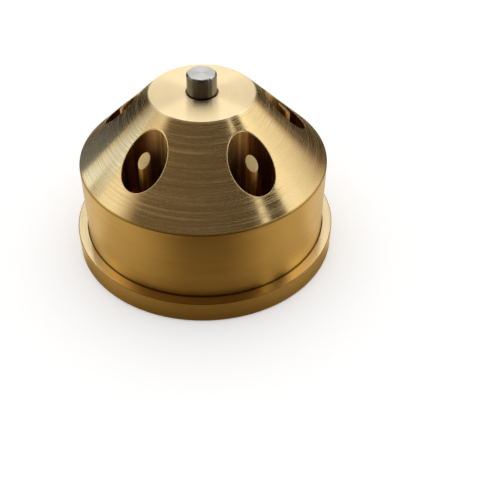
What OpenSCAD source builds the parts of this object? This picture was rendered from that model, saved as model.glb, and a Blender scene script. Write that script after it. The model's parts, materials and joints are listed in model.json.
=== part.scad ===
/* [Die body] */
// Outer diameter of the clamping flange
flange_d = 60; // [58:0.5:72]
// Height of the flange
flange_h = 5.4; // [4:0.1:8]
// Diameter of the cylinder that the ring nut slides over
body_d = 55.2; // [52:0.1:58]
// Height of the cylinder between the flange and the foot of the cone
cylinder_h = 17.3; // [12:0.1:30]
// Slope of the conical cutting face above the horizontal, in degrees
cone_slope = 45; // [35:1:55]
// Diameter of the flat top of the cone
top_d = 22.7; // [14:0.1:24]
// Chamfer round the lower edge of the flange
flange_chamfer = 0.4; // [0.1:0.05:1]

/* [Dough bores] */
// Number of bores, evenly spaced round the axis
bore_count = 5; // [3:1:6]
// Diameter of each bore, the outside of the pasta tube
bore_d = 9.8; // [8.5:0.1:10.5]
// Diameter of the circle that the bore axes lie on
bore_circle_d = 37.2; // [34:0.1:40]
// Diameter of the inlet counterbore that holds a mandrel's foot
inlet_d = 13; // [12.4:0.1:15]
// Depth of the inlet counterbore, up to its shoulder
inlet_depth = 6; // [4:0.1:8]

/* [Mandrels] */
// Diameter of the slim post that reaches the cutting face
post_d = 2.6; // [2:0.1:3.6]
// Diameter of the forming head, the inside of the pasta tube
head_d = 7.4; // [6:0.1:8.2]
// Length of the straight land on the forming head
land_h = 4; // [2:0.1:7]
// Length of the taper that leads up to the land
lead_h = 2.4; // [1:0.1:5]
// Length of the taper from the land up to the post
tail_h = 3.6; // [2:0.1:6]
// Diameter of the stem in the middle of the foot
stem_d = 4; // [3:0.1:5]
// Length of the bare stem between the foot and the forming head
stem_h = 1.2; // [0.5:0.1:3]
// Wall of the foot's outer ring
ring_wall = 1; // [0.7:0.05:1.2]
// Width of the foot's arms
arm_w = 1.8; // [1.2:0.1:2.6]
// Number of arms in each foot
arm_count = 3; // [2:1:4]
// How far the foot sits inside the inlet face
foot_recess = 0.5; // [0.2:0.05:1.5]
// Clearance all round the foot's ring in its counterbore
ring_clearance = 0.01; // [0:0.005:0.05]

/* [Knife spindle] */
// Diameter of the spindle that carries the rotating knife
spindle_d = 6.4; // [5.6:0.1:8]
// Height of the spindle above the flat top
spindle_h = 4.5; // [3:0.1:8]
// Chamfer round the spindle's end
spindle_chamfer = 0.35; // [0.1:0.05:0.8]
// Gap all round the spindle where it enters the top
spindle_gap = 0.3; // [0.1:0.05:0.8]
// Depth of the recess that the spindle's neck stands in
spindle_seat = 0.9; // [0.4:0.1:2]
// Diameter of the spindle's shank
shank_d = 5; // [3.5:0.1:5.2]
// Length of the spindle's shank
shank_h = 12; // [6:0.5:16]
// Clearance all round the shank in its hole
shank_clearance = 0.01; // [0:0.005:0.05]
// Depth of the shank's hole past its end
shank_relief = 1; // [0.2:0.1:3]

/* [Hidden] */
// Cuts run this far past the faces that they open
over = 1;
// Facets of every turned form
$fn = 96;
brass = [0.80, 0.64, 0.34];
steel = [0.72, 0.72, 0.72];

flange_r = flange_d / 2;
body_r = body_d / 2;
top_r = top_d / 2;
shoulder_z = flange_h + cylinder_h;
top_z = shoulder_z + (body_r - top_r) * tan(cone_slope);
bore_step = 360 / bore_count;
bore_circle_r = bore_circle_d / 2;
ring_d = inlet_d - 2 * ring_clearance;
port_d = inlet_d - 2 * ring_wall;
head_z = inlet_depth + stem_h;
land_z = head_z + lead_h;
tail_z = land_z + land_h;
post_z = tail_z + tail_h;
seat_z = top_z - spindle_seat;
neck_d = (spindle_d + shank_d) / 2;

// Half section of the body as it comes off the lathe, before drilling
function turned_section() = [
    [0, 0],
    [flange_r - flange_chamfer, 0],
    [flange_r, flange_chamfer],
    [flange_r, flange_h],
    [body_r, flange_h],
    [body_r, shoulder_z],
    [top_r, top_z],
    [0, top_z],
];

// Half section of one mandrel, from the bottom of its stem to past the cutting face
function mandrel_section() = [
    [0, foot_recess],
    [stem_d / 2, foot_recess],
    [stem_d / 2, head_z],
    [head_d / 2, land_z],
    [head_d / 2, tail_z],
    [post_d / 2, post_z],
    [post_d / 2, top_z + over],
    [0, top_z + over],
];

module at_bore(i) {
    rotate([0, 0, (i - 1) * bore_step])
        translate([bore_circle_r, 0, 0])
            children();
}

module turned_blank() {
    rotate_extrude()
        polygon(turned_section());
}

// One dough passage: straight bore and inlet counterbore
module passage() {
    translate([0, 0, -over])
        cylinder(d = bore_d, h = top_z + 2 * over);
    translate([0, 0, -over])
        cylinder(d = inlet_d, h = inlet_depth + over);
}

// Recess round the spindle and the blind hole for its shank
module spindle_hole() {
    translate([0, 0, seat_z])
        cylinder(d = spindle_d + 2 * spindle_gap, h = spindle_seat + over);
    translate([0, 0, seat_z - shank_h - shank_relief])
        cylinder(d = shank_d + 2 * shank_clearance, h = shank_h + shank_relief + over);
}

module die_body() {
    color(brass)
        difference() {
            turned_blank();
            for (i = [1 : bore_count])
                at_bore(i) passage();
            spindle_hole();
        }
}

// Open wheel that centres a mandrel in its counterbore: outer ring and arms
module mandrel_foot() {
    foot_h = inlet_depth - foot_recess;
    translate([0, 0, foot_recess]) {
        difference() {
            cylinder(d = ring_d, h = foot_h);
            translate([0, 0, -over])
                cylinder(d = port_d, h = foot_h + 2 * over);
        }
        intersection() {
            cylinder(d = ring_d - ring_wall, h = foot_h);
            for (a = [0 : arm_count - 1])
                rotate([0, 0, a * 360 / arm_count])
                    translate([0, -arm_w / 2, 0])
                        cube([ring_d / 2, arm_w, foot_h]);
        }
    }
}

// The post is cut by the same cone as the body, so its slanted end lies flush
module mandrel(i) {
    color(brass)
        intersection() {
            at_bore(i) {
                rotate_extrude()
                    polygon(mandrel_section());
                mandrel_foot();
            }
            turned_blank();
        }
}

module knife_spindle() {
    color(steel) {
        translate([0, 0, seat_z - shank_h])
            cylinder(d = shank_d, h = shank_h);
        translate([0, 0, seat_z])
            cylinder(d = neck_d, h = spindle_seat);
        translate([0, 0, top_z])
            cylinder(d = spindle_d, h = spindle_h - spindle_chamfer);
        translate([0, 0, top_z + spindle_h - spindle_chamfer])
            cylinder(d1 = spindle_d, d2 = spindle_d - 2 * spindle_chamfer, h = spindle_chamfer);
    }
}

die_body();
knife_spindle();
for (i = [1 : bore_count])
    mandrel(i);
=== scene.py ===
"""Dresses a turned brass pasta die with lathe-true surfaces, brushed finishes and a pale studio."""

import json
import math

import bmesh
import bpy
import numpy as np
from bpy.props import FloatProperty, FloatVectorProperty, IntProperty, PointerProperty
from mathutils import Matrix, Vector


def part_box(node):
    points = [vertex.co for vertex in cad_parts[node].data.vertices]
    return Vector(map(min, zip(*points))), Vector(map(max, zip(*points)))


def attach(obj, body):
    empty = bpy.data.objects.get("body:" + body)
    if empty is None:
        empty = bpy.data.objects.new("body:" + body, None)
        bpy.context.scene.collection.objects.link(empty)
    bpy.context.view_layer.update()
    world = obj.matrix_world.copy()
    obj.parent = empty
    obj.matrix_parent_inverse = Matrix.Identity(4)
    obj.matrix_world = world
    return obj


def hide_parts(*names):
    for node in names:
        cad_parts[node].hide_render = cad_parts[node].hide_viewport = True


bl_info = {
    "name": "Pasta Die",
    "version": (1, 0, 0),
    "blender": (4, 5, 0),
    "location": "View3D > Sidebar > Pasta Die",
    "description": "Builds the turned surfaces, the finishes and the studio of a brass pasta die",
    "category": "Object",
}

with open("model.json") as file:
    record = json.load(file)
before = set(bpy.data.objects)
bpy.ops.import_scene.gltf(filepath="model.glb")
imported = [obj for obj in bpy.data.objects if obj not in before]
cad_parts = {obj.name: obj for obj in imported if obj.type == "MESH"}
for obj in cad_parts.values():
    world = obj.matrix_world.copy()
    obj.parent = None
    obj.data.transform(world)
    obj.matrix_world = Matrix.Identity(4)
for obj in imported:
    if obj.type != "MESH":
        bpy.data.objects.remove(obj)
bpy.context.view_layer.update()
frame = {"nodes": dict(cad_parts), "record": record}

MM = 0.001
BODY = "root"
MANDREL_NODES = sorted(name for name in frame["nodes"] if name.startswith("mandrel_"))
BORES = len(MANDREL_NODES)
MOUNTS = {mount["name"]: mount for mount in frame["record"]["mounts"]}
BODY_LOW, BODY_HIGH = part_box("die_body")
SPINDLE_LOW, SPINDLE_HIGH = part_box("knife_spindle")
FOOT_LOW, FOOT_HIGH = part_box("mandrel_1")
NUT_CYLINDER = MOUNTS["ring_nut_cylinder"]
SPINDLE_PIN = MOUNTS["knife_spindle"]

# Segments along the arcs and along each straight side of one bore's sector
ARC_STEPS = 48
SIDE_STEPS = 24
# Segments round the whole die, round a post and over an eased edge
ROUND_STEPS = ARC_STEPS * BORES
POST_STEPS = 64
BREAK_STEPS = 6
# A support point beside an eased corner lies this many reaches from it
SUPPORT = 1.5
# The turned skins run this many edge breaks onto the cone
CONE_RUN = 3
# Levels of the flange's upper edge and of the cone's foot: below zero, so that these edges get painted
# shade, a dark line, in place of wear
FLANGE_EDGE_SHADE = -0.4
SHOULDER_EDGE_SHADE = -0.6
# Points closer than this are welded, in metres
WELD = 1e-7
# Distances of the far cards and of the near ones from the die, in metres
FAR = 0.9
NEAR = 0.12
# Height of the camera over the horizon, seen from the middle of the cone
CONE_VIEW = math.radians(37.4)
# Tilts of the normals between which a card is mirrored over the whole height of the cone, in degrees
WHOLE_CONE = (16, 67)
# Radii of the floor's rings, from under the flange's edge outwards
FLOOR_RADII = (29.2 * MM, 0.05, 0.2, 0.8, 3.0)
FLOOR_STEPS = 96
# Height of the mats over the floor
MAT_LIFT = 0.05 * MM
# Ranges over which a mat changes: at the die's foot, where it darkens as a painted contact shadow,
# from near to far, and where its ends stop being pale
MAT_FOOT_SHADOW = (31 * MM, 40 * MM)
MAT_NEAR = (43 * MM, 56 * MM)
MAT_ENDS = (60 * MM, 90 * MM)
# Turns from the camera over which a mat changes to its side tone, in degrees
MAT_SIDES = (8, 55)


class DieSizes(bpy.types.PropertyGroup):
    """Sizes of the die's turned and drilled forms, in metres."""

    flange_r: FloatProperty(
        name="Flange Radius", description="Outer radius of the clamping flange",
        default=BODY_HIGH.x, subtype="DISTANCE", unit="LENGTH")
    flange_h: FloatProperty(
        name="Flange Height", description="Height of the ledge that the ring nut presses on",
        default=MOUNTS["flange_ledge"]["pos_m"][2], subtype="DISTANCE", unit="LENGTH")
    body_r: FloatProperty(
        name="Body Radius", description="Radius of the cylinder under the cone",
        default=NUT_CYLINDER["dims"]["r_mm"] * MM, subtype="DISTANCE", unit="LENGTH")
    top_r: FloatProperty(
        name="Top Radius", description="Radius of the flat top",
        default=11.35 * MM, subtype="DISTANCE", unit="LENGTH")
    top_z: FloatProperty(
        name="Top Height", description="Height of the flat top above the inlet face",
        default=BODY_HIGH.z, subtype="DISTANCE", unit="LENGTH")
    cone_slope: FloatProperty(
        name="Cone Slope", description="Slope of the cutting face above the horizontal",
        default=math.radians(45), subtype="ANGLE", unit="ROTATION")
    flange_chamfer: FloatProperty(
        name="Flange Chamfer", description="Chamfer round the lower edge of the flange",
        default=0.4 * MM, subtype="DISTANCE", unit="LENGTH")
    foot_radius: FloatProperty(
        name="Foot Radius", description="Reach of the tool-nose radius between ledge and cylinder",
        default=0.24 * MM, subtype="DISTANCE", unit="LENGTH")
    edge_break: FloatProperty(
        name="Edge Break", description="Reach of the break on the turned edges",
        default=0.14 * MM, subtype="DISTANCE", unit="LENGTH")
    rim_break: FloatProperty(
        name="Rim Break", description="Reach of the deburred edge round each bore mouth",
        default=0.22 * MM, subtype="DISTANCE", unit="LENGTH")
    bore_r: FloatProperty(
        name="Bore Radius", description="Radius of the dough bores",
        default=4.9 * MM, subtype="DISTANCE", unit="LENGTH")
    bore_circle_r: FloatProperty(
        name="Bore Circle", description="Radius of the circle that the bore axes lie on",
        default=(FOOT_LOW.x + FOOT_HIGH.x) / 2, subtype="DISTANCE", unit="LENGTH")
    inlet_r: FloatProperty(
        name="Inlet Radius", description="Radius of the counterbore that holds a mandrel's foot",
        default=6.5 * MM, subtype="DISTANCE", unit="LENGTH")
    inlet_depth: FloatProperty(
        name="Inlet Depth", description="Depth of the counterbore up to its shoulder",
        default=6 * MM, subtype="DISTANCE", unit="LENGTH")
    port_r: FloatProperty(
        name="Port Radius", description="Inner radius of a mandrel foot's ring",
        default=5.5 * MM, subtype="DISTANCE", unit="LENGTH")
    stem_h: FloatProperty(
        name="Stem Height", description="Length of the bare stem between a foot and the forming head",
        default=1.2 * MM, subtype="DISTANCE", unit="LENGTH")
    post_r: FloatProperty(
        name="Post Radius", description="Radius of the slim post in each bore",
        default=1.3 * MM, subtype="DISTANCE", unit="LENGTH")
    head_r: FloatProperty(
        name="Head Radius", description="Radius of a mandrel's forming head",
        default=3.7 * MM, subtype="DISTANCE", unit="LENGTH")
    stem_r: FloatProperty(
        name="Stem Radius", description="Radius of the stem in the middle of a foot",
        default=2 * MM, subtype="DISTANCE", unit="LENGTH")
    lead_h: FloatProperty(
        name="Lead Height", description="Length of the taper below the forming land",
        default=2.4 * MM, subtype="DISTANCE", unit="LENGTH")
    land_h: FloatProperty(
        name="Land Height", description="Length of the straight forming land",
        default=4 * MM, subtype="DISTANCE", unit="LENGTH")
    tail_h: FloatProperty(
        name="Tail Height", description="Length of the taper above the forming land",
        default=3.6 * MM, subtype="DISTANCE", unit="LENGTH")
    foot_recess: FloatProperty(
        name="Foot Recess", description="How far a foot sits inside the inlet face",
        default=FOOT_LOW.z, subtype="DISTANCE", unit="LENGTH")
    arm_w: FloatProperty(
        name="Arm Width", description="Width of a foot's arms",
        default=1.8 * MM, subtype="DISTANCE", unit="LENGTH")
    arm_count: IntProperty(
        name="Arms", description="Number of arms in each foot", default=3, min=2, max=6)
    post_break: FloatProperty(
        name="Post Break", description="Reach of the break round a post's slanted end",
        default=0.1 * MM, subtype="DISTANCE", unit="LENGTH")
    spindle_r: FloatProperty(
        name="Spindle Radius", description="Radius of the knife spindle",
        default=SPINDLE_PIN["dims"]["r_mm"] * MM, subtype="DISTANCE", unit="LENGTH")
    spindle_top: FloatProperty(
        name="Spindle Top", description="Height of the spindle's end above the inlet face",
        default=SPINDLE_HIGH.z, subtype="DISTANCE", unit="LENGTH")
    spindle_chamfer: FloatProperty(
        name="Spindle Chamfer", description="Chamfer round the spindle's end",
        default=0.35 * MM, subtype="DISTANCE", unit="LENGTH")
    spindle_gap: FloatProperty(
        name="Spindle Gap", description="Gap round the spindle where it enters the top",
        default=0.3 * MM, subtype="DISTANCE", unit="LENGTH")
    spindle_seat: FloatProperty(
        name="Spindle Seat", description="Depth of the recess that the spindle stands in",
        default=0.9 * MM, subtype="DISTANCE", unit="LENGTH")
    shank_r: FloatProperty(
        name="Shank Radius", description="Radius of the spindle's shank",
        default=2.5 * MM, subtype="DISTANCE", unit="LENGTH")
    shank_bottom: FloatProperty(
        name="Shank Bottom", description="Height of the shank's lower end above the inlet face",
        default=SPINDLE_LOW.z, subtype="DISTANCE", unit="LENGTH")
    shank_relief: FloatProperty(
        name="Shank Relief", description="Depth of the shank's hole past its end",
        default=1 * MM, subtype="DISTANCE", unit="LENGTH")

    @property
    def shoulder_z(self):
        """Height of the cone's foot."""
        return self.top_z - (self.body_r - self.top_r) * math.tan(self.cone_slope)


class DieFinishes(bpy.types.PropertyGroup):
    """Colours of the metals. Some are lighter or darker copies of one brass or one steel, as painted light
    and shade.
    """

    cone: FloatVectorProperty(
        name="Cone", description="Brushed brass of the cutting face",
        default=(0.90, 0.68, 0.33), subtype="COLOR", min=0, max=1)
    # Painted light: a lighter copy of the cone's brass, raised to stand in for the light from behind the die
    top: FloatVectorProperty(
        name="Top", description="Faced brass of the flat top",
        default=(0.97, 0.79, 0.47), subtype="COLOR", min=0, max=1)
    # Painted shade: a darker, more saturated copy of the brass for the cylinder and the flange, also used on
    # the inlet face
    cylinder: FloatVectorProperty(
        name="Cylinder", description="Satin brass of the cylinder and the flange",
        default=(0.66, 0.41, 0.095), subtype="COLOR", min=0, max=1)
    # Painted shade: a darker copy of the brass for the deep bores
    bore: FloatVectorProperty(
        name="Bore", description="Duller brass inside the bores",
        default=(0.42, 0.23, 0.07), subtype="COLOR", min=0, max=1)
    # Painted shade: a darker, more orange copy of the brass for the mandrels deep in the bores
    mandrel: FloatVectorProperty(
        name="Mandrel", description="Turned brass of the mandrels",
        default=(0.50, 0.26, 0.06), subtype="COLOR", min=0, max=1)
    steel: FloatVectorProperty(
        name="Steel", description="Faced steel of the knife spindle's end",
        default=(0.62, 0.62, 0.60), subtype="COLOR", min=0, max=1)
    # Painted shade: the spindle's side is a darker copy of the end's steel
    shaded_side_steel: FloatVectorProperty(
        name="Dark Steel", description="Darker ground steel of the knife spindle's side",
        default=(0.21, 0.205, 0.20), subtype="COLOR", min=0, max=1)


class StudioSettings(bpy.types.PropertyGroup):
    """Camera, light and floor."""

    azimuth: FloatProperty(
        name="Azimuth", description="Turn of the camera round the die, from the -Y side",
        default=math.radians(-13.1), subtype="ANGLE", unit="ROTATION")
    stand_off: FloatProperty(
        name="Stand Off", description="Level distance from the die's axis to the camera",
        default=0.1466, subtype="DISTANCE", unit="LENGTH")
    height: FloatProperty(
        name="Height", description="Height of the camera above the floor",
        default=0.1287, subtype="DISTANCE", unit="LENGTH")
    pitch: FloatProperty(
        name="Pitch", description="How far the camera looks down",
        default=math.radians(42.71), subtype="ANGLE", unit="ROTATION")
    yaw: FloatProperty(
        name="Yaw", description="How far the camera looks to the right of the axis",
        default=math.radians(4.2), subtype="ANGLE", unit="ROTATION")
    roll: FloatProperty(
        name="Roll", description="Turn of the camera about its own line of sight",
        default=math.radians(1.06), subtype="ANGLE", unit="ROTATION")
    lens: FloatProperty(
        name="Lens", description="Focal length on a sensor 36 mm wide", default=57.5)
    floor_colour: FloatVectorProperty(
        name="Floor", description="Colour of the floor",
        default=(0.86, 0.86, 0.86), subtype="COLOR", min=0, max=1)
    floor_lift: FloatProperty(
        name="Floor Lift", description="Own light of the floor where it is seen or mirrored", default=0.3)
    ambient: FloatProperty(
        name="Ambient", description="Strength of the light from all round", default=0.78)
    key_power: FloatProperty(
        name="Key Power", description="Power of the large lamp over the die", default=1.2, unit="POWER")
    card_tint: FloatVectorProperty(
        name="Card Tint", description="Tint of the grey cards that the metal mirrors",
        default=(1.0, 0.70, 0.44), subtype="COLOR", min=0, max=1)
    cool_tint: FloatVectorProperty(
        name="Cool Tint", description="Tint of the cool cards at the left",
        default=(0.58, 0.73, 1.0), subtype="COLOR", min=0, max=1)
    card_tone: FloatProperty(
        name="Card Tone", description="Level of the dark cards", default=0.085, min=0, max=1)


def grid_quads(rows, columns):
    """Corner numbers of the quads of a grid of points, row by row."""
    index = np.arange(rows * columns).reshape(rows, columns)
    return np.stack([index[:-1, :-1], index[:-1, 1:], index[1:, 1:], index[1:, :-1]], -1).reshape(-1, 4)


class Shell:
    """Grid patches of one piece, collected to be welded into a single closed mesh."""

    def __init__(self):
        self.points = []
        self.quads = []
        self.uvs = []
        self.edges = []
        self.finishes = []
        self.count = 0

    def add(self, grid, finish, edge=0.0):
        """Adds a grid of rows by columns by xyz; u runs along the columns and v along the rows."""
        rows, columns = grid.shape[:2]
        quads = grid_quads(rows, columns)
        v, u = np.meshgrid(np.linspace(0, 1, rows), np.linspace(0, 1, columns), indexing="ij")
        uv = np.stack([u, v], -1).reshape(-1, 2)
        self.points.append(grid.reshape(-1, 3))
        self.quads.append(self.count + quads)
        self.uvs.append(uv[quads])
        self.edges.append(np.broadcast_to(np.asarray(edge, float), (rows, columns)).ravel())
        self.finishes.append(np.full(len(quads), finish))
        self.count += rows * columns

    def build(self, name, materials):
        """Makes the object: quads from the grids, then doubles merged so that seams and poles close."""
        points = np.concatenate(self.points)
        quads = np.concatenate(self.quads)
        mesh = bpy.data.meshes.new(name)
        mesh.from_pydata(points, [], quads)
        mesh.polygons.foreach_set("material_index", np.concatenate(self.finishes).astype(np.int32))
        # Per point: 1 brightens a worn edge, and a level below zero paints shade into a corner or onto an
        # edge
        wear = mesh.attributes.new("wear_and_painted_shade", "FLOAT", "POINT")
        wear.data.foreach_set("value", np.concatenate(self.edges).astype(np.float32))
        turning = mesh.uv_layers.new(name="turning")
        turning.uv.foreach_set("vector", np.concatenate(self.uvs).astype(np.float32).ravel())
        for material in materials:
            mesh.materials.append(material)
        welded = bmesh.new()
        welded.from_mesh(mesh)
        bmesh.ops.remove_doubles(welded, verts=welded.verts, dist=WELD)
        bmesh.ops.recalc_face_normals(welded, faces=welded.faces)
        open_edges = sum(1 for edge in welded.edges if not edge.is_manifold)
        welded.to_mesh(mesh)
        welded.free()
        if open_edges:
            raise RuntimeError(f"{name} has {open_edges} open edges")
        mesh.shade_smooth()
        piece = bpy.data.objects.new(name, mesh)
        bpy.context.scene.collection.objects.link(piece)
        return piece


def eased(start, corner, end):
    """Curve from start to end that is drawn towards the corner: (1-t)^2 A + 2t(1-t) C + t^2 B."""
    t = np.linspace(0, 1, BREAK_STEPS + 1).reshape(-1, *[1] * np.ndim(corner))
    return (1 - t) ** 2 * start + 2 * t * (1 - t) * corner + t ** 2 * end


def soften(corners):
    """Section line with eased corners. Each corner is (r, z, reach): the line leaves it at reach before the
    corner and comes back at reach after it, along an eased curve with a support point beside each end. Gives
    the points and, for each, a level: 1 on an outer break, which the material brightens as wear, -1 in an
    inner corner, which it darkens as painted shade, and 0 elsewhere. A fourth value of a corner takes the
    place of that 1 or -1."""
    line, wear = [], []
    for k, (r, z, reach, *own) in enumerate(corners):
        corner = np.array([r, z])
        if reach == 0 or k in (0, len(corners) - 1):
            line.append(corner[None])
            wear.append(np.zeros(1))
            continue
        before, after = np.array(corners[k - 1][:2]), np.array(corners[k + 1][:2])
        start = corner + reach * (before - corner) / np.linalg.norm(before - corner)
        end = corner + reach * (after - corner) / np.linalg.norm(after - corner)
        curve = eased(start, corner, end)
        lead_in = corner + SUPPORT * (start - corner)
        lead_out = corner + SUPPORT * (end - corner)
        line.append(np.concatenate([lead_in[None], curve, lead_out[None]]))
        (r0, z0), (r1, z1) = corner - before, after - corner
        level = own[0] if own else np.sign(r0 * z1 - z0 * r1)
        wear.append(np.concatenate([[0.0], np.full(len(curve), level), [0.0]]))
    return np.concatenate(line), np.concatenate(wear)


def revolve(section, steps=ROUND_STEPS, centre=(0.0, 0.0)):
    """Turns a section of (r, z) about the vertical through centre: P = (cx + r cos a, cy + r sin a, z)."""
    angle = np.linspace(0, 2 * math.pi, steps + 1)
    r, z = section[:, 0, None], section[:, 1, None]
    x = centre[0] + r * np.cos(angle)
    y = centre[1] + r * np.sin(angle)
    return np.stack([x, y, np.broadcast_to(z, x.shape)], -1)


def turn(grid, angle):
    """The grid turned about the die's axis."""
    c, s = math.cos(angle), math.sin(angle)
    return grid @ np.array([[c, s, 0], [-s, c, 0], [0, 0, 1]])


def cone_height(sizes, x, y):
    """Height of the cone over a point: z = top + (top radius - distance from the axis) tan slope."""
    return sizes.top_z + (sizes.top_r - np.hypot(x, y)) * math.tan(sizes.cone_slope)


def arc(radius, start, end, steps):
    """Points on a circle about the axis, in plan, without the last one."""
    angle = np.linspace(start, end, steps, endpoint=False)
    return np.stack([radius * np.cos(angle), radius * np.sin(angle)], -1)


def straight(start, end, steps):
    """Evenly spaced points on a line in plan, without the last one."""
    t = np.arange(steps)[:, None] / steps
    return (1 - t) * np.asarray(start) + t * np.asarray(end)


def at(radius, angle):
    """Point in plan at a radius and an angle."""
    return np.array([radius * math.cos(angle), radius * math.sin(angle)])


def sector_border(outer_r, inner_r):
    """Border of one bore's sector in plan, closed, anticlockwise from the middle of its outer arc. An inner
    radius of zero makes the two sides meet on the axis."""
    half = math.pi / BORES
    inner = arc(inner_r, half, -half, ARC_STEPS)
    sides = SIDE_STEPS
    if inner_r == 0:
        inner = inner[:0]
        sides = SIDE_STEPS + ARC_STEPS // 2
    parts = [
        arc(outer_r, 0, half, ARC_STEPS // 2),
        straight(at(outer_r, half), at(inner_r, half), sides),
        inner,
        straight(at(inner_r, -half), at(outer_r, -half), sides),
        arc(outer_r, -half, 0, ARC_STEPS // 2),
        at(outer_r, 0)[None],
    ]
    return np.concatenate(parts)


def blend_plan(ring, border, shares):
    """Rows of plan points between a ring and a border: P = (1-s) ring + s border."""
    s = np.asarray(shares)[:, None, None]
    return (1 - s) * ring + s * border


def lift(plan, z):
    """Plan points with their heights."""
    return np.concatenate([plan, np.broadcast_to(np.asarray(z), plan.shape[:-1])[..., None]], -1)


def bore_ring_angles(sizes, border):
    """Angle round the bore's axis at which each border point is seen."""
    return np.unwrap(np.arctan2(border[:, 1], border[:, 0] - sizes.bore_circle_r))


def ring_plan(sizes, radius, angles):
    """Circle about the bore's axis in plan."""
    return np.stack([sizes.bore_circle_r + radius * np.cos(angles), radius * np.sin(angles)], -1)


# Finishes of the body's surfaces, in the order of its materials
CONE, TOP, CYLINDER, BORE, INLET, LEDGE = range(6)


def body_skin(sizes):
    """Half section of the outside, from the inlet face's edge up to the cone's foot, with eased corners.
    Gives the points, their levels of wear and painted shade, and the rows between which the flange's ledge
    lies."""
    e = sizes.edge_break
    slope = sizes.cone_slope
    shoulder = sizes.shoulder_z
    corners = [
        (sizes.flange_r - 2 * sizes.flange_chamfer, 0, 0),
        (sizes.flange_r - sizes.flange_chamfer, 0, e),
        (sizes.flange_r, sizes.flange_chamfer, e),
        (sizes.flange_r, sizes.flange_h, e, FLANGE_EDGE_SHADE),
        (sizes.body_r, sizes.flange_h, sizes.foot_radius),
        (sizes.body_r, shoulder, e, SHOULDER_EDGE_SHADE),
        (sizes.body_r - CONE_RUN * e * math.cos(slope), shoulder + CONE_RUN * e * math.sin(slope), 0),
    ]
    section, wear = soften(corners)
    on_ledge = np.flatnonzero(np.isclose(section[:, 1], sizes.flange_h, atol=1e-9))
    return section, wear, (on_ledge[0], on_ledge[-1])


def top_skin(sizes):
    """Half section from the cone's upper end over the flat top and down the spindle's hole to its bottom."""
    e = sizes.edge_break
    slope = sizes.cone_slope
    recess_r = sizes.spindle_r + sizes.spindle_gap
    seat_z = sizes.top_z - sizes.spindle_seat
    bottom = sizes.shank_bottom - sizes.shank_relief
    corners = [
        (sizes.top_r + CONE_RUN * e * math.cos(slope), sizes.top_z - CONE_RUN * e * math.sin(slope), 0),
        (sizes.top_r, sizes.top_z, e),
        (0.5 * (sizes.top_r + recess_r), sizes.top_z, 0),
        (recess_r, sizes.top_z, 0.5 * e),
        (recess_r, seat_z, 0),
        (sizes.shank_r, seat_z, 0),
        (sizes.shank_r, bottom, 0),
        (0, bottom, 0),
    ]
    return soften(corners)


def add_cone_sector(shell, sizes, angle, outer_r, inner_r):
    """Cone between one bore's rim and the borders of its sector, worked out in plan and lifted onto the
    cone, the eased rim, and the bore with its inlet counterbore down to the lower face."""
    border = sector_border(outer_r, inner_r)
    angles = bore_ring_angles(sizes, border)
    fall = np.cos(angles) * math.tan(sizes.cone_slope)
    reach = sizes.rim_break / np.sqrt(1 + fall ** 2)
    rim_plan = ring_plan(sizes, sizes.bore_r, angles)
    edge_plan = ring_plan(sizes, sizes.bore_r + reach, angles)
    shares = np.concatenate([[0, 0.012, 0.04], np.linspace(0.1, 1, 12)])
    face = blend_plan(edge_plan, border, shares)
    shell.add(turn(lift(face, cone_height(sizes, face[..., 0], face[..., 1])), angle), CONE)

    rim = lift(rim_plan, cone_height(sizes, rim_plan[:, 0], rim_plan[:, 1]))
    start = lift(edge_plan, cone_height(sizes, edge_plan[:, 0], edge_plan[:, 1]))
    end = rim - np.array([0, 0, sizes.rim_break])
    shell.add(turn(eased(start, rim, end), angle), CONE, edge=1.0)

    wall_foot = rim.copy()
    wall_foot[:, 2] = sizes.inlet_depth
    s = np.concatenate([[0, 0.01], np.linspace(0.04, 1, 20)])[:, None, None]
    shell.add(turn((1 - s) * end + s * wall_foot, angle), BORE)

    lower = [
        (sizes.bore_r, sizes.inlet_depth),
        (sizes.inlet_r, sizes.inlet_depth),
        (sizes.inlet_r, sizes.edge_break),
        (sizes.inlet_r + sizes.edge_break, 0),
    ]
    rings = [lift(ring_plan(sizes, r, angles), z) for r, z in lower]
    for above, below in zip(rings, rings[1:]):
        rows = np.linspace(0, 1, 4)[:, None, None]
        shell.add(turn((1 - rows) * above + rows * below, angle), INLET)

    floor_border = sector_border(sizes.flange_r - 2 * sizes.flange_chamfer, 0)
    floor = blend_plan(rings[-1][:, :2], floor_border, np.linspace(0, 1, 10))
    shell.add(turn(lift(floor, 0.0), angle), INLET)


def make_body(sizes, materials):
    """The whole die body as one closed skin."""
    shell = Shell()
    skin, skin_wear_and_shade, (first, last) = body_skin(sizes)
    top, top_wear = top_skin(sizes)
    spans = ((slice(first + 1), CYLINDER), (slice(first, last + 1), LEDGE), (slice(last, None), CYLINDER))
    for rows, finish in spans:
        shell.add(revolve(skin[rows]), finish, skin_wear_and_shade[rows, None])
    shell.add(revolve(top), TOP, top_wear[:, None])
    for k in range(BORES):
        add_cone_sector(shell, sizes, 2 * math.pi * k / BORES, skin[-1, 0], top[0, 0])
    return shell.build("turned_die_body", materials)


def mandrel_stem(sizes):
    """Half section of a mandrel up to the middle of its post."""
    head_z = sizes.inlet_depth + sizes.stem_h
    land_z = head_z + sizes.lead_h
    tail_z = land_z + sizes.land_h
    post_z = tail_z + sizes.tail_h
    soft = 3 * sizes.post_break
    corners = [
        (0, sizes.foot_recess, 0),
        (sizes.stem_r, sizes.foot_recess, sizes.post_break),
        (sizes.stem_r, head_z, soft),
        (sizes.head_r, land_z, soft),
        (sizes.head_r, tail_z, soft),
        (sizes.post_r, post_z, soft),
        (sizes.post_r, post_z + sizes.tail_h, 0),
    ]
    return soften(corners)


# Finishes of a mandrel and of the spindle, in the order of their materials
SIDE, END = range(2)


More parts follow.
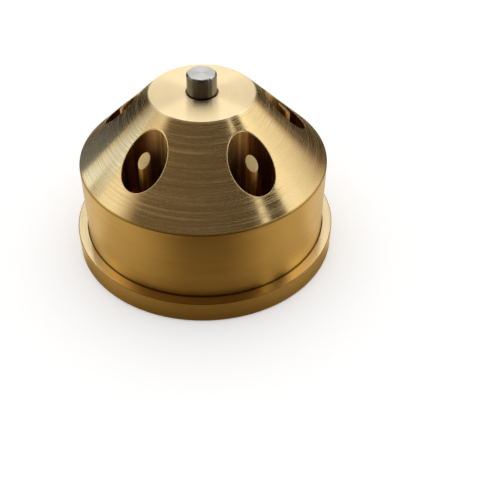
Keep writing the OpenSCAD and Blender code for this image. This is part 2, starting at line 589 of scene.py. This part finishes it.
def make_mandrel(sizes, number, materials):
    """One mandrel: a turned stem, head and post that ends in the cone, and a foot of a ring and arms."""
    shell = Shell()
    angle = 2 * math.pi * (number - 1) / BORES
    centre = (sizes.bore_circle_r, 0.0)
    # The stem's inner corners get -1 from soften: painted shade
    stem, wear = mandrel_stem(sizes)
    shell.add(turn(revolve(stem, POST_STEPS, centre), angle), SIDE, wear[:, None])

    around = np.linspace(0, 2 * math.pi, POST_STEPS + 1)
    rim_plan = ring_plan(sizes, sizes.post_r, around)
    rim = lift(rim_plan, cone_height(sizes, rim_plan[:, 0], rim_plan[:, 1]))
    lower = lift(rim_plan, stem[-1, 1])
    side_end = rim - np.array([0, 0, sizes.post_break])
    s = np.linspace(0, 1, 12)[:, None, None]
    shell.add(turn((1 - s) * lower + s * side_end, angle), SIDE)

    cap_plan = ring_plan(sizes, sizes.post_r - sizes.post_break, around)
    cap_edge = lift(cap_plan, cone_height(sizes, cap_plan[:, 0], cap_plan[:, 1]))
    shell.add(turn(eased(side_end, rim, cap_edge), angle), END, edge=1.0)

    middle = np.broadcast_to(np.array(centre), cap_plan.shape)
    cap = blend_plan(cap_plan, middle, np.linspace(0, 1, 8))
    shell.add(turn(lift(cap, cone_height(sizes, cap[..., 0], cap[..., 1])), angle), END)
    add_foot(shell, sizes, angle, centre)
    return shell.build(f"turned_mandrel_{number}", materials)


def rounded_box(left, right, low, high, reach):
    """Rectangle with eased corners and its wear, closed, anticlockwise from the middle of its lower side."""
    middle = (0.5 * (left + right), low, 0)
    corners = [(x, z, reach) for x, z in ((right, low), (right, high), (left, high), (left, low))]
    return soften([middle, *corners, middle])


def add_foot(shell, sizes, angle, centre):
    """Foot of a mandrel: a ring turned from a rounded rectangle, and arms that are rounded bars from the
    stem to the ring. The bars are a hair lower than the ring, so that no two faces share a plane."""
    low, high = sizes.foot_recess, sizes.inlet_depth
    outer, inner = (FOOT_HIGH.x - FOOT_LOW.x) / 2, sizes.port_r
    section, wear = rounded_box(inner, outer, low, high, sizes.post_break)
    shell.add(turn(revolve(section, POST_STEPS, centre), angle), SIDE, wear[:, None])

    half_w, inset = sizes.arm_w / 2, 0.02 * MM
    outline, bar_wear = rounded_box(-half_w, half_w, low + inset, high - inset, sizes.post_break)
    hub = outline.mean(0)
    from_r, to_r = 0.5 * sizes.stem_r, 0.5 * (inner + outer)
    scales = np.array([0, 1, 1, 0])[:, None, None]
    reach = np.array([from_r, from_r, to_r, to_r])[:, None]
    across = hub + scales * (outline - hub)
    for k in range(sizes.arm_count):
        turned = 2 * math.pi * k / sizes.arm_count
        c, s = math.cos(turned), math.sin(turned)
        x = centre[0] + reach * c - across[..., 0] * s
        y = reach * s + across[..., 0] * c
        shell.add(turn(np.stack([x, y, across[..., 1]], -1), angle), SIDE, bar_wear[None, :])


def make_spindle(sizes, materials):
    """The knife spindle: shank, neck, ground side, chamfer and faced end, as one eased turned section."""
    seat_z = sizes.top_z - sizes.spindle_seat
    e = 0.3 * sizes.spindle_chamfer
    inner_r = sizes.spindle_r - sizes.spindle_chamfer
    half_chamfer = 0.5 * sizes.spindle_chamfer
    edge_r, edge_z = inner_r + half_chamfer, sizes.spindle_top - half_chamfer
    neck_r = 0.5 * (sizes.spindle_r + sizes.shank_r)
    side = [
        (0, sizes.shank_bottom, 0),
        (sizes.shank_r, sizes.shank_bottom, e),
        (sizes.shank_r, seat_z, 0),
        (neck_r, seat_z, 0),
        (neck_r, sizes.top_z, 0),
        (sizes.spindle_r, sizes.top_z, e),
        (sizes.spindle_r, sizes.spindle_top - sizes.spindle_chamfer, e),
        (edge_r, edge_z, 0),
    ]
    end = [
        (edge_r, edge_z, 0),
        (inner_r, sizes.spindle_top, e),
        (0.5 * inner_r, sizes.spindle_top, 0),
        (0, sizes.spindle_top, 0),
    ]
    shell = Shell()
    for corners, finish in ((side, SIDE), (end, END)):
        section, wear = soften(corners)
        shell.add(revolve(section, 2 * POST_STEPS), finish, wear[:, None])
    return shell.build("ground_knife_spindle", materials)


class Nodes:
    """Adds nodes to one tree: inputs are values or sockets, and settings are the node's own properties."""

    def __init__(self, tree):
        self.tree = tree

    def put(self, socket, value):
        """Links a socket to another, or sets its value."""
        if isinstance(value, bpy.types.NodeSocket):
            self.tree.links.new(value, socket)
        else:
            socket.default_value = value

    def add(self, kind, inputs=None, **settings):
        node = self.tree.nodes.new(kind)
        for key, value in settings.items():
            setattr(node, key, value)
        for key, value in (inputs or {}).items():
            self.put(node.inputs[key], value)
        return node

    def math(self, operation, a, b=0.0):
        return self.add("ShaderNodeMath", {0: a, 1: b}, operation=operation).outputs[0]

    def spread(self, value, low, high, to_low, to_high):
        """The value carried from one range to another, and kept inside it."""
        inputs = {"Value": value, "From Min": low, "From Max": high, "To Min": to_low, "To Max": to_high}
        return self.add("ShaderNodeMapRange", inputs).outputs["Result"]

    def mix(self, factor, a, b):
        """Colour a, with colour b over it by the factor."""
        node = self.add("ShaderNodeMix", data_type="RGBA")
        sockets = {socket.identifier: socket for socket in node.inputs}
        for key, value in (("Factor_Float", factor), ("A_Color", a), ("B_Color", b)):
            self.put(sockets[key], value)
        return next(socket for socket in node.outputs if socket.identifier == "Result_Color")

    def noise(self, vector, scale, detail=2.0, roughness=0.5):
        inputs = {"Vector": vector, "Scale": scale, "Detail": detail, "Roughness": roughness}
        return self.add("ShaderNodeTexNoise", inputs).outputs["Fac"]

    def point(self):
        """Object coordinates."""
        return self.add("ShaderNodeTexCoord").outputs["Object"]

    def split(self, vector):
        return self.add("ShaderNodeSeparateXYZ", {0: vector}).outputs

    def join(self, x, y, z):
        return self.add("ShaderNodeCombineXYZ", {0: x, 1: y, 2: z}).outputs[0]


def new_group(name, inputs, outputs):
    """An empty shader group with named sockets; sockets are (name, type, default)."""
    tree = bpy.data.node_groups.new(name, "ShaderNodeTree")
    for label, kind, default in inputs:
        socket = tree.interface.new_socket(label, in_out="INPUT", socket_type=kind)
        socket.default_value = default
    for label, kind in outputs:
        tree.interface.new_socket(label, in_out="OUTPUT", socket_type=kind)
    nodes = Nodes(tree)
    return tree, nodes, nodes.add("NodeGroupInput").outputs, nodes.add("NodeGroupOutput").inputs


def lathe_marks_group():
    """Marks that a tool leaves round the axis: noise that changes fast across them and slowly along them."""
    value = "NodeSocketFloat"
    tree, nodes, given, out = new_group(
        "Lathe Marks",
        [("Across", value, 0.0), ("Line Width", value, 0.2 * MM), ("Streak", value, 3.0),
         ("Seed", value, 0.0)],
        [("Line", value), ("Band", value), ("Score", value)])
    x, y, _ = nodes.split(nodes.point())
    square = nodes.math("ADD", nodes.math("MULTIPLY", x, x), nodes.math("MULTIPLY", y, y))
    radius = nodes.math("MAXIMUM", nodes.math("SQRT", square), 0.01 * MM)
    around = [nodes.math("MULTIPLY", nodes.math("DIVIDE", side, radius), given["Streak"]) for side in (x, y)]
    across = nodes.math("ADD", nodes.math("DIVIDE", given["Across"], given["Line Width"]), given["Seed"])

    def marks(frequency, length):
        line = nodes.math("MULTIPLY", across, frequency)
        along = [nodes.math("DIVIDE", side, length) for side in around]
        return nodes.noise(nodes.join(line, *along), 1.0, 0.0)

    coarse, fine = nodes.math("MULTIPLY", marks(1.0, 1.0), 0.6), nodes.math("MULTIPLY", marks(2.3, 0.6), 0.4)
    nodes.put(out["Line"], nodes.math("ADD", coarse, fine))
    nodes.put(out["Band"], marks(0.12, 1.0))
    nodes.put(out["Score"], nodes.spread(marks(0.9, 1.8), 0.6, 0.74, 0.0, 1.0))
    return tree


def mottle_group():
    """Slow change of tone over a metal surface, as from handling and tarnish."""
    colour, value = "NodeSocketColor", "NodeSocketFloat"
    tree, nodes, given, out = new_group(
        "Metal Mottle",
        [("Color", colour, (0.8, 0.6, 0.3, 1)), ("Deep", colour, (0.5, 0.3, 0.1, 1)), ("Amount", value, 0.2),
         ("Patch", value, 8 * MM)],
        [("Color", colour)])
    cloud = nodes.noise(nodes.point(), nodes.math("DIVIDE", 1.0, given["Patch"]), 4.0, 0.6)
    mask = nodes.math("MULTIPLY", nodes.spread(cloud, 0.35, 0.7, 0.0, 1.0), given["Amount"])
    nodes.put(out["Color"], nodes.mix(mask, given["Color"], given["Deep"]))
    return tree


def wear_and_shade_group():
    """Brightened metal on broken edges from wear, and painted shade in inner corners and on edges whose
    level is below zero, from the piece's own edge attribute, with the bright part thinned by noise."""
    value = "NodeSocketFloat"
    tree, nodes, given, out = new_group(
        "Edge Wear And Painted Shade", [("Amount", value, 0.6)], [("Mask", value), ("Painted Shade", value)])
    edge = nodes.add("ShaderNodeAttribute", attribute_name="wear_and_painted_shade").outputs["Fac"]
    patches = nodes.spread(nodes.noise(nodes.point(), 600.0, 3.0), 0.3, 0.6, 0.5, 1.0)
    edge_tone = nodes.math("MULTIPLY", nodes.math("MAXIMUM", edge, 0.0), patches)
    nodes.put(out["Mask"], nodes.math("MULTIPLY", edge_tone, given["Amount"]))
    nodes.put(out["Painted Shade"], nodes.math("MAXIMUM", nodes.math("MULTIPLY", edge, -1.0), 0.0))
    return tree


def painted_reflection_streaks_group():
    """Painted reflections along a bore, as stretched bright lines: noise that changes round it and hardly
    along it.
    """
    value = "NodeSocketFloat"
    tree, nodes, given, out = new_group("Painted Reflection Streaks", [("Amount", value, 0.5)], [("Mask", value)])
    around = nodes.split(nodes.add("ShaderNodeUVMap", uv_map="turning").outputs[0])[0]
    turned = nodes.math("MULTIPLY", around, 2 * math.pi)
    x, y = (nodes.math("MULTIPLY", nodes.math(kind, turned), 3.5) for kind in ("COSINE", "SINE"))
    height = nodes.math("MULTIPLY", nodes.split(nodes.point())[2], 25.0)
    painted_streaks = nodes.spread(nodes.noise(nodes.join(x, y, height), 1.0), 0.48, 0.66, 0.0, 1.0)
    nodes.put(out["Mask"], nodes.math("MULTIPLY", painted_streaks, given["Amount"]))
    return tree


def lathe_coordinate(nodes, direction):
    """Height, or distance from the axis, in metres: the way across the marks of a turned or a faced side."""
    if direction == "height":
        return nodes.split(nodes.point())["Z"]
    flat = nodes.add("ShaderNodeVectorMath", {0: nodes.point(), 1: (1, 1, 0)}, operation="MULTIPLY")
    return nodes.add("ShaderNodeVectorMath", {0: flat.outputs[0]}, operation="LENGTH").outputs["Value"]


def blank_material(name):
    """A material with an empty tree, and that tree's nodes."""
    material = bpy.data.materials.new(name)
    material.use_nodes = True
    material.node_tree.nodes.clear()
    return material, Nodes(material.node_tree)


def turned_metal(name, groups, colour, deep, across, line_width, streak, rough, spread, bump, aniso,
                 tangent="RADIAL", contrast=0.25, mottle=0.15, wear=0.5, band=0.4, reflection_streaks=0.0, seed=0.0):
    """A metal with tool marks. The marks change its colour, its roughness and its bump, and broken edges are
    brighter from wear. Inner corners and some edges are darkened as painted shade, and bright lines painted
    along a bore stand in for the reflections in it."""
    material, nodes = blank_material(name)

    def group(key, inputs):
        return nodes.add("ShaderNodeGroup", inputs, node_tree=groups[key]).outputs

    marks = group("marks", {"Across": lathe_coordinate(nodes, across), "Line Width": line_width,
                            "Streak": streak, "Seed": seed})
    tone = group("mottle", {"Color": (*colour, 1), "Deep": (*deep, 1), "Amount": mottle})
    # This group gives both the wear on broken edges and the painted shade in corners and on darkened edges
    edge_tone = group("wear", {"Amount": wear})
    lines = nodes.spread(marks["Line"], 0.3, 0.7, 0.0, 1.0)
    final = nodes.mix(nodes.math("MULTIPLY", lines, contrast), tone["Color"], (*deep, 1))
    final = nodes.mix(nodes.math("MULTIPLY", marks["Score"], 0.6 * contrast), final, (*deep, 1))
    final = nodes.mix(edge_tone["Mask"], final, (*brighter(colour, 1.08), 1))
    # Painted shade: corners and edges whose level is below zero are darkened towards a deep brown
    final = nodes.mix(nodes.math("MULTIPLY", edge_tone["Painted Shade"], 0.85), final, (*darker(colour, 0.1), 1))
    # Painted reflections: bright lines along the bores and the mandrels stand in for what they mirror
    if reflection_streaks:
        painted_streaks = group("reflection_streaks", {"Amount": reflection_streaks})["Mask"]
        final = nodes.mix(painted_streaks, final, (*brighter(colour, 2.1), 1))
    level = nodes.math("ADD", nodes.math("MULTIPLY", marks["Band"], band),
                       nodes.math("MULTIPLY", marks["Line"], 1 - band))
    ground = nodes.math("POWER", nodes.spread(level, 0.34, 0.7, 0.0, 1.0), 1.5)
    coarse = nodes.math("MAXIMUM", ground, nodes.math("MULTIPLY", marks["Score"], 0.3))
    roughness = nodes.spread(coarse, 0.0, 1.0, rough - 0.5 * spread, rough + 1.5 * spread)
    height = nodes.math("SUBTRACT", marks["Line"], nodes.math("MULTIPLY", marks["Score"], 0.5))
    relief = nodes.add("ShaderNodeBump", {"Strength": 1.0, "Distance": bump, "Height": height})
    direction = nodes.add("ShaderNodeTangent", direction_type=tangent)
    if tangent == "RADIAL":
        direction.axis = "Z"
    else:
        direction.uv_map = "turning"
    shader = nodes.add("ShaderNodeBsdfPrincipled", {
        "Base Color": final, "Metallic": 1.0, "Roughness": roughness, "Normal": relief.outputs[0],
        "Anisotropic": aniso, "Anisotropic Rotation": 0.25, "Tangent": direction.outputs[0]})
    nodes.add("ShaderNodeOutputMaterial", {"Surface": shader.outputs[0]})
    return material


def darker(colour, share):
    """A colour turned down, with its blue turned down most."""
    return tuple(c * share * f for c, f in zip(colour, (1.0, 0.9, 0.75)))


def brighter(colour, share):
    """A colour turned up, and kept within white."""
    return tuple(min(1.0, share * c) for c in colour)


def get_material(key):
    """The finish of that name, made once together with the groups that it shares."""
    if key in bpy.data.materials:
        return bpy.data.materials[key]
    # The wear group gives both edge wear and painted shade; the streak group paints reflections
    makers = {"marks": ("Lathe Marks", lathe_marks_group), "mottle": ("Metal Mottle", mottle_group),
              "wear": ("Edge Wear And Painted Shade", wear_and_shade_group), "reflection_streaks": ("Painted Reflection Streaks", painted_reflection_streaks_group)}
    groups = {name: bpy.data.node_groups.get(label) or make() for name, (label, make) in makers.items()}
    colours = bpy.context.scene.die_finishes
    recipes = {
        "brushed_cone": dict(
            colour=colours.cone, across="height", line_width=0.22 * MM, streak=0.9, rough=0.235, spread=0.09,
            bump=0.3e-6, aniso=0.88, contrast=0.08, mottle=0.04, band=0.0),
        "faced_top": dict(
            colour=colours.top, across="radius", line_width=0.4 * MM, streak=1.2, rough=0.31, spread=0.03,
            bump=1e-6, aniso=0.94, contrast=0.06, mottle=0.03),
        "satin_cylinder": dict(
            colour=colours.cylinder, across="height", line_width=0.4 * MM, streak=3.0, rough=0.38,
            spread=0.03, bump=2e-6, aniso=0.8, contrast=0.12, mottle=0.12),
        "shaded_bore": dict(
            colour=colours.bore, across="height", line_width=0.5 * MM, streak=4.0, rough=0.3, spread=0.05,
            bump=3e-6, aniso=0.85, tangent="UV_MAP", contrast=0.3, mottle=0.2, reflection_streaks=0.9),
        # The ledge takes the top's lighter copy of the brass as a painted highlight
        "faced_ledge": dict(
            colour=colours.top, across="radius", line_width=0.3 * MM, streak=2.0, rough=0.17, spread=0.03,
            bump=2e-6, aniso=0.8, contrast=0.15, mottle=0.05),
        "faced_inlet": dict(
            colour=colours.cylinder, across="radius", line_width=0.5 * MM, streak=3.0, rough=0.38,
            spread=0.05, bump=4e-6, aniso=0.8, contrast=0.15),
        "turned_mandrel": dict(
            colour=colours.mandrel, across="height", line_width=0.4 * MM, streak=4.0, rough=0.5, spread=0.05,
            bump=3e-6, aniso=0.2, tangent="UV_MAP", contrast=0.25, reflection_streaks=0.7),
        "faced_post": dict(
            colour=colours.cone, across="height", line_width=0.5 * MM, streak=3.0, rough=0.45, spread=0.05,
            bump=2e-6, aniso=0.2, contrast=0.15, mottle=0.2),
        "ground_steel": dict(
            colour=colours.shaded_side_steel, across="height", line_width=0.3 * MM, streak=5.0, rough=0.18,
            spread=0.03, bump=1.5e-6, aniso=0.6, contrast=0.12),
        "faced_steel": dict(
            colour=colours.steel, across="radius", line_width=0.25 * MM, streak=4.0, rough=0.28, spread=0.04,
            bump=2e-6, aniso=0.88, contrast=0.15),
    }
    recipe = recipes[key]
    deep = darker(recipe["colour"], 0.62)
    return turned_metal(key, groups, deep=deep, seed=17.0 * list(recipes).index(key), **recipe)


def place(piece, node):
    """The piece rides on the die's only body and stands for its CAD node, which is hidden."""
    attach(piece, BODY)
    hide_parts(node)


def seen_or_mirrored(nodes):
    """1 for what is seen by the camera, in metal or through glass, and 0 for what only gives light."""
    path = nodes.add("ShaderNodeLightPath").outputs
    mirrored = nodes.math("MAXIMUM", path["Is Glossy Ray"], path["Is Transmission Ray"])
    return nodes.math("MAXIMUM", path["Is Camera Ray"], mirrored)


def floor_material(studio):
    """Pale floor that keeps shadows; a little of its own light, and more of it far out, lifts it to white
    where it is seen or mirrored."""
    material, nodes = blank_material("pale_floor")
    grain = nodes.noise(nodes.point(), 40.0, 3.0)
    tone = nodes.mix(nodes.math("MULTIPLY", grain, 0.03), (*studio.floor_colour, 1), (0.8, 0.8, 0.8, 1))
    matt = nodes.add("ShaderNodeBsdfDiffuse", {"Color": tone})
    distance = lathe_coordinate(nodes, "radius")
    own_light = nodes.spread(distance, 0.15, 0.8, studio.floor_lift, studio.floor_lift + 0.08)
    strength = nodes.math("MULTIPLY", seen_or_mirrored(nodes), own_light)
    glow = nodes.add("ShaderNodeEmission", {"Color": (1, 1, 1, 1), "Strength": strength})
    both = nodes.add("ShaderNodeAddShader", {0: matt.outputs[0], 1: glow.outputs[0]})
    nodes.add("ShaderNodeOutputMaterial", {"Surface": both.outputs[0]})
    return material


def card_material(name, tint, pale):
    """Matt card that is mirrored at the level of its own tone attribute, from its tint where it is dark to
    its pale colour where it is bright."""
    material, nodes = blank_material(name)
    tone = nodes.add("ShaderNodeAttribute", attribute_name="tone").outputs["Fac"]
    colour = nodes.mix(tone, (*tint, 1), (*pale, 1))
    glow = nodes.add("ShaderNodeEmission", {"Color": colour, "Strength": tone})
    nodes.add("ShaderNodeOutputMaterial", {"Surface": glow.outputs[0]})
    return material


def hang_card(name, grid, material, tone):
    """Stands a card of the studio round the die. It is only mirrored: it casts no shadow and no light."""
    rows, columns = grid.shape[:2]
    mesh = bpy.data.meshes.new(name)
    mesh.from_pydata(grid.reshape(-1, 3), [], grid_quads(rows, columns))
    mesh.materials.append(material)
    level = mesh.attributes.new("tone", "FLOAT", "POINT")
    level.data.foreach_set("value", np.broadcast_to(tone, (rows, columns)).astype(np.float32).ravel())
    card = bpy.data.objects.new(name, mesh)
    card.visible_camera = False
    card.visible_diffuse = False
    card.visible_shadow = False
    card.visible_transmission = False
    bpy.context.scene.collection.objects.link(card)


def dome_card(studio, name, azimuths, elevations, material, tone):
    """Card bent to a part of a dome about the die: P = radius (sin a cos e, -cos a cos e, sin e), with the
    azimuth counted from the camera."""
    turned = math.degrees(studio.azimuth) + np.linspace(*azimuths, 25)
    a, e = np.meshgrid(np.radians(turned), np.radians(np.linspace(*elevations, 25)))
    dome = FAR * np.stack([np.sin(a) * np.cos(e), -np.cos(a) * np.cos(e), np.sin(e)], -1)
    hang_card(name, dome, material, tone)


def ease(value, low, high):
    """Smooth step from 0 at low to 1 at high: t^2 (3 - 2t)."""
    t = np.clip((value - low) / (high - low), 0, 1)
    return t * t * (3 - 2 * t)


def cone_card(studio, name, sides, tilts, material, tones, radius=FAR):
    """Card whose sides are mirrored along straight lines of the cone. For each turn a from the camera and
    each tilt t of a normal n = (cos t sin a, -cos t cos a, sin t), P = radius (2 (n.v) n - v), with v the
    way to the camera. Its tone goes from the first to the second by a smooth step from side to side."""
    a, t = np.meshgrid(np.linspace(*sides, 33), np.radians(np.linspace(*tilts, 33)))
    turned = np.radians(a) + studio.azimuth
    normal = np.stack([np.cos(t) * np.sin(turned), -np.cos(t) * np.cos(turned), np.sin(t)], -1)
    level, rise = math.cos(CONE_VIEW), math.sin(CONE_VIEW)
    view = np.array([math.sin(studio.azimuth) * level, -math.cos(studio.azimuth) * level, rise])
    away = 2 * (normal @ view)[..., None] * normal - view
    hang_card(name, radius * away, material, tones[0] + (tones[1] - tones[0]) * ease(a, *sides))


def floor_card(studio, name, azimuths, radii, material, near_tone, side_tone):
    """Mat just over the floor, as a part of a ring, seen only in the metal: it paints the floor's shade as
    mirrored, dark far out, near_tone close to the die and side_tone towards the sides, each by a smooth
    step. It is darker at the die's foot, a painted contact shadow, and as pale as the floor at its ends."""
    turned = math.degrees(studio.azimuth)
    a, share = np.meshgrid(np.linspace(*azimuths, 73), np.linspace(0, 1, 41))
    r = radii[0] * (radii[1] / radii[0]) ** share
    near = studio.card_tone + (near_tone - studio.card_tone) * (1 - ease(r, *MAT_NEAR))
    tone = near + (side_tone - near) * ease(np.abs(a), *MAT_SIDES)
    # Painted contact shadow: darker towards the die's foot
    tone *= 1 - 0.7 * (1 - ease(r, *MAT_FOOT_SHADOW))
    middle, half = np.mean(azimuths), 0.5 * (azimuths[1] - azimuths[0])
    tone += (1 - tone) * ease(np.abs(a - middle), 0.8 * half, half) * (1 - ease(r, *MAT_ENDS))
    turned_a = np.radians(turned + a)
    ring = np.stack([r * np.sin(turned_a), -r * np.cos(turned_a), np.full(r.shape, MAT_LIFT)], -1)
    hang_card(name, ring, material, tone)


def hang_cone_cards(studio, warm, cool):
    """Cards that the cone mirrors: the dark front with its soft left edge, the dark strip beside the bright
    slit, and at each side a set of near cards from pale to dark, with cool softboxes at the left."""
    dark = studio.card_tone
    left_dark = 1.5 * dark
    cone_card(studio, "front_card", (-32.8, 26.5), WHOLE_CONE, warm, (left_dark, dark))
    cone_card(studio, "front_edge_card", (-45.8, -32.8), WHOLE_CONE, warm, (0.9, left_dark))
    cone_card(studio, "strip_card", (29.9, 40.0), WHOLE_CONE, warm, (0.5 * dark, dark))
    cone_card(studio, "left_high_card", (-76, -37), (49.5, 66), warm, (0.02, 0.62), NEAR)
    cone_card(studio, "left_back_card", (-110, -76), (49.5, 66), warm, (0.02, 0.02), NEAR)
    cone_card(studio, "left_low_card", (-110, -69), (30, 49.5), cool, (0.1, 0.28), NEAR)
    before_near = 0.98 * NEAR
    cone_card(studio, "left_low_softbox", (-68, -59), (38, 45), cool, (1.5, 1.8), before_near)
    cone_card(studio, "left_softbox", (-61, -50), (45, 51), cool, (1.2, 2.0), before_near)
    cone_card(studio, "left_gap_card", (-58, -50), (34, 45), warm, (0.4, 0.6), before_near)
    cone_card(studio, "right_high_card", (60, 74), (46.5, 66), warm, (0.95, 0.03), NEAR)
    cone_card(studio, "right_low_card", (46, 75), (30, 46.5), warm, (0.9, 0.09), NEAR)
    cone_card(studio, "right_back_card", (74.5, 110), (30, 66), warm, (0.06, 0.02), NEAR)


def hang_top_cards(studio, card):
    """Cards that the flat top mirrors: a softbox behind, and a grey card and a softbox at each side."""
    dome_card(studio, "back_softbox", (152, 208), (55, 82), card, 2.2)
    for side, sign in (("left", -1), ("right", 1)):
        dome_card(studio, f"{side}_top_card", (sign * 136, sign * 164), (22, 46), card, 0.4)
        dome_card(studio, f"{side}_side_softbox", (sign * 90, sign * 112), (40, 56), card, 1.8)


def lay_mats(studio, card):
    """Mats on the floor that the cylinder and the flange mirror: before the die and behind both sides. The
    one before the die paints the floor's shade and the die's contact shadow as mirrored.
    """
    floor_card(studio, "front_shade_mat", (-85, 85), (29.7 * MM, FAR), card, 0.44, 0.74)
    floor_card(studio, "left_mat", (-165, -122), (60 * MM, FAR), card, 0.14, 0.14)
    floor_card(studio, "right_mat", (116, 165), (60 * MM, FAR), card, 0.09, 0.09)


def make_floor(studio):
    """Flat round floor round the die's foot, open under the die so that the inlet side can be looked at."""
    rim = np.linspace(0, 2 * math.pi, FLOOR_STEPS, endpoint=False)
    radii = np.array(FLOOR_RADII)[:, None]
    level = np.zeros((len(FLOOR_RADII), FLOOR_STEPS))
    rings = np.stack([radii * np.cos(rim), radii * np.sin(rim), level], -1).reshape(-1, 3)
    index = np.arange(level.size).reshape(level.shape)
    ahead = np.roll(index, -1, axis=1)
    quads = np.stack([index[:-1], index[1:], ahead[1:], ahead[:-1]], -1).reshape(-1, 4)
    mesh = bpy.data.meshes.new("floor")
    mesh.from_pydata(rings, [], quads)
    mesh.materials.append(floor_material(studio))
    floor = bpy.data.objects.new("floor", mesh)
    bpy.context.scene.collection.objects.link(floor)


def make_world(studio):
    """White all round where it is seen or mirrored, and a softer even light on what it falls on."""
    world = bpy.data.worlds.new("studio")
    bpy.context.scene.world = world
    world.use_nodes = True
    world.node_tree.nodes.clear()
    nodes = Nodes(world.node_tree)
    strength = nodes.spread(seen_or_mirrored(nodes), 0.0, 1.0, studio.ambient, 1.0)
    light = nodes.add("ShaderNodeBackground", {"Color": (1, 1, 1, 1), "Strength": strength})
    nodes.add("ShaderNodeOutputWorld", {"Surface": light.outputs[0]})


def make_lamp(name, azimuth, elevation, distance, size, power):
    """Square soft lamp that looks at the middle of the die from a side and a height."""
    target = Vector((0, 0, 20 * MM))
    level, rise = math.cos(elevation), math.sin(elevation)
    away = Vector((math.sin(azimuth) * level, -math.cos(azimuth) * level, rise))
    data = bpy.data.lights.new(name, "AREA")
    data.shape = "SQUARE"
    data.size = size
    data.energy = power
    lamp = bpy.data.objects.new(name, data)
    lamp.location = target + distance * away
    lamp.rotation_euler = (-away).to_track_quat("-Z", "Y").to_euler()
    bpy.context.scene.collection.objects.link(lamp)


def make_camera(studio):
    """Camera at its stated place: turned to the die, tipped down by the pitch, off by the yaw and rolled."""
    data = bpy.data.cameras.new("camera")
    data.sensor_width = 36.0
    data.lens = studio.lens
    data.clip_start = 0.005
    camera = bpy.data.objects.new("camera", data)
    around = Matrix.Rotation(studio.azimuth, 4, "Z")
    stand = Matrix.Translation((0, -studio.stand_off, studio.height))
    look = Matrix.Rotation(-studio.yaw, 4, "Z") @ Matrix.Rotation(math.pi / 2 - studio.pitch, 4, "X")
    camera.matrix_world = around @ stand @ look @ Matrix.Rotation(studio.roll, 4, "Z")
    bpy.context.scene.collection.objects.link(camera)
    bpy.context.scene.camera = camera


class PASTADIE_OT_body(bpy.types.Operator):
    """Builds the turned die body over its CAD solid"""

    bl_idname = "pastadie.body"
    bl_label = "Die Body"

    def execute(self, context):
        names = ("brushed_cone", "faced_top", "satin_cylinder", "shaded_bore", "faced_inlet", "faced_ledge")
        piece = make_body(context.scene.die_sizes, [get_material(name) for name in names])
        place(piece, "die_body")
        return {"FINISHED"}


class PASTADIE_OT_mandrels(bpy.types.Operator):
    """Builds one mandrel in each bore"""

    bl_idname = "pastadie.mandrels"
    bl_label = "Mandrels"

    def execute(self, context):
        materials = [get_material("turned_mandrel"), get_material("faced_post")]
        for number, node in enumerate(MANDREL_NODES, 1):
            piece = make_mandrel(context.scene.die_sizes, number, materials)
            place(piece, node)
        return {"FINISHED"}


class PASTADIE_OT_spindle(bpy.types.Operator):
    """Builds the knife spindle"""

    bl_idname = "pastadie.spindle"
    bl_label = "Knife Spindle"

    def execute(self, context):
        materials = [get_material("ground_steel"), get_material("faced_steel")]
        piece = make_spindle(context.scene.die_sizes, materials)
        place(piece, "knife_spindle")
        return {"FINISHED"}


class PASTADIE_OT_stage(bpy.types.Operator):
    """Builds the floor, the light, the cards that the metal mirrors and the camera"""

    bl_idname = "pastadie.stage"
    bl_label = "Studio"

    def execute(self, context):
        studio = context.scene.die_studio
        context.scene.view_settings.view_transform = "Standard"
        make_camera(studio)
        make_floor(studio)
        make_world(studio)
        make_lamp("key", studio.azimuth + math.radians(178), math.radians(70), FAR, 1.0, studio.key_power)
        warm = card_material("warm_card", studio.card_tint, (1, 1, 1))
        cool = card_material("cool_card", studio.cool_tint, studio.cool_tint)
        hang_cone_cards(studio, warm, cool)
        hang_top_cards(studio, warm)
        lay_mats(studio, warm)
        return {"FINISHED"}


class PASTADIE_PT_sidebar(bpy.types.Panel):
    """Lists the sizes, the finishes and the steps that build the die"""

    bl_label = "Pasta Die"
    bl_idname = "PASTADIE_PT_sidebar"
    bl_space_type = "VIEW_3D"
    bl_region_type = "UI"
    bl_category = "Pasta Die"

    def draw(self, context):
        scene = context.scene
        for group in (scene.die_sizes, scene.die_finishes, scene.die_studio):
            box = self.layout.box()
            for name in group.__annotations__:
                box.prop(group, name)
        for operator in OPERATORS:
            self.layout.operator(operator.bl_idname)


GROUPS = {"die_sizes": DieSizes, "die_finishes": DieFinishes, "die_studio": StudioSettings}
OPERATORS = (PASTADIE_OT_body, PASTADIE_OT_mandrels, PASTADIE_OT_spindle, PASTADIE_OT_stage)
CLASSES = (*GROUPS.values(), *OPERATORS, PASTADIE_PT_sidebar)


def register():
    for cls in CLASSES:
        bpy.utils.register_class(cls)
    for name, group in GROUPS.items():
        setattr(bpy.types.Scene, name, PointerProperty(type=group))


def unregister():
    for name in GROUPS:
        delattr(bpy.types.Scene, name)
    for cls in reversed(CLASSES):
        bpy.utils.unregister_class(cls)


def main():
    """Builds every piece and the studio."""
    register()
    bpy.ops.pastadie.body()
    bpy.ops.pastadie.mandrels()
    bpy.ops.pastadie.spindle()
    bpy.ops.pastadie.stage()


if __name__ == "__main__":
    main()
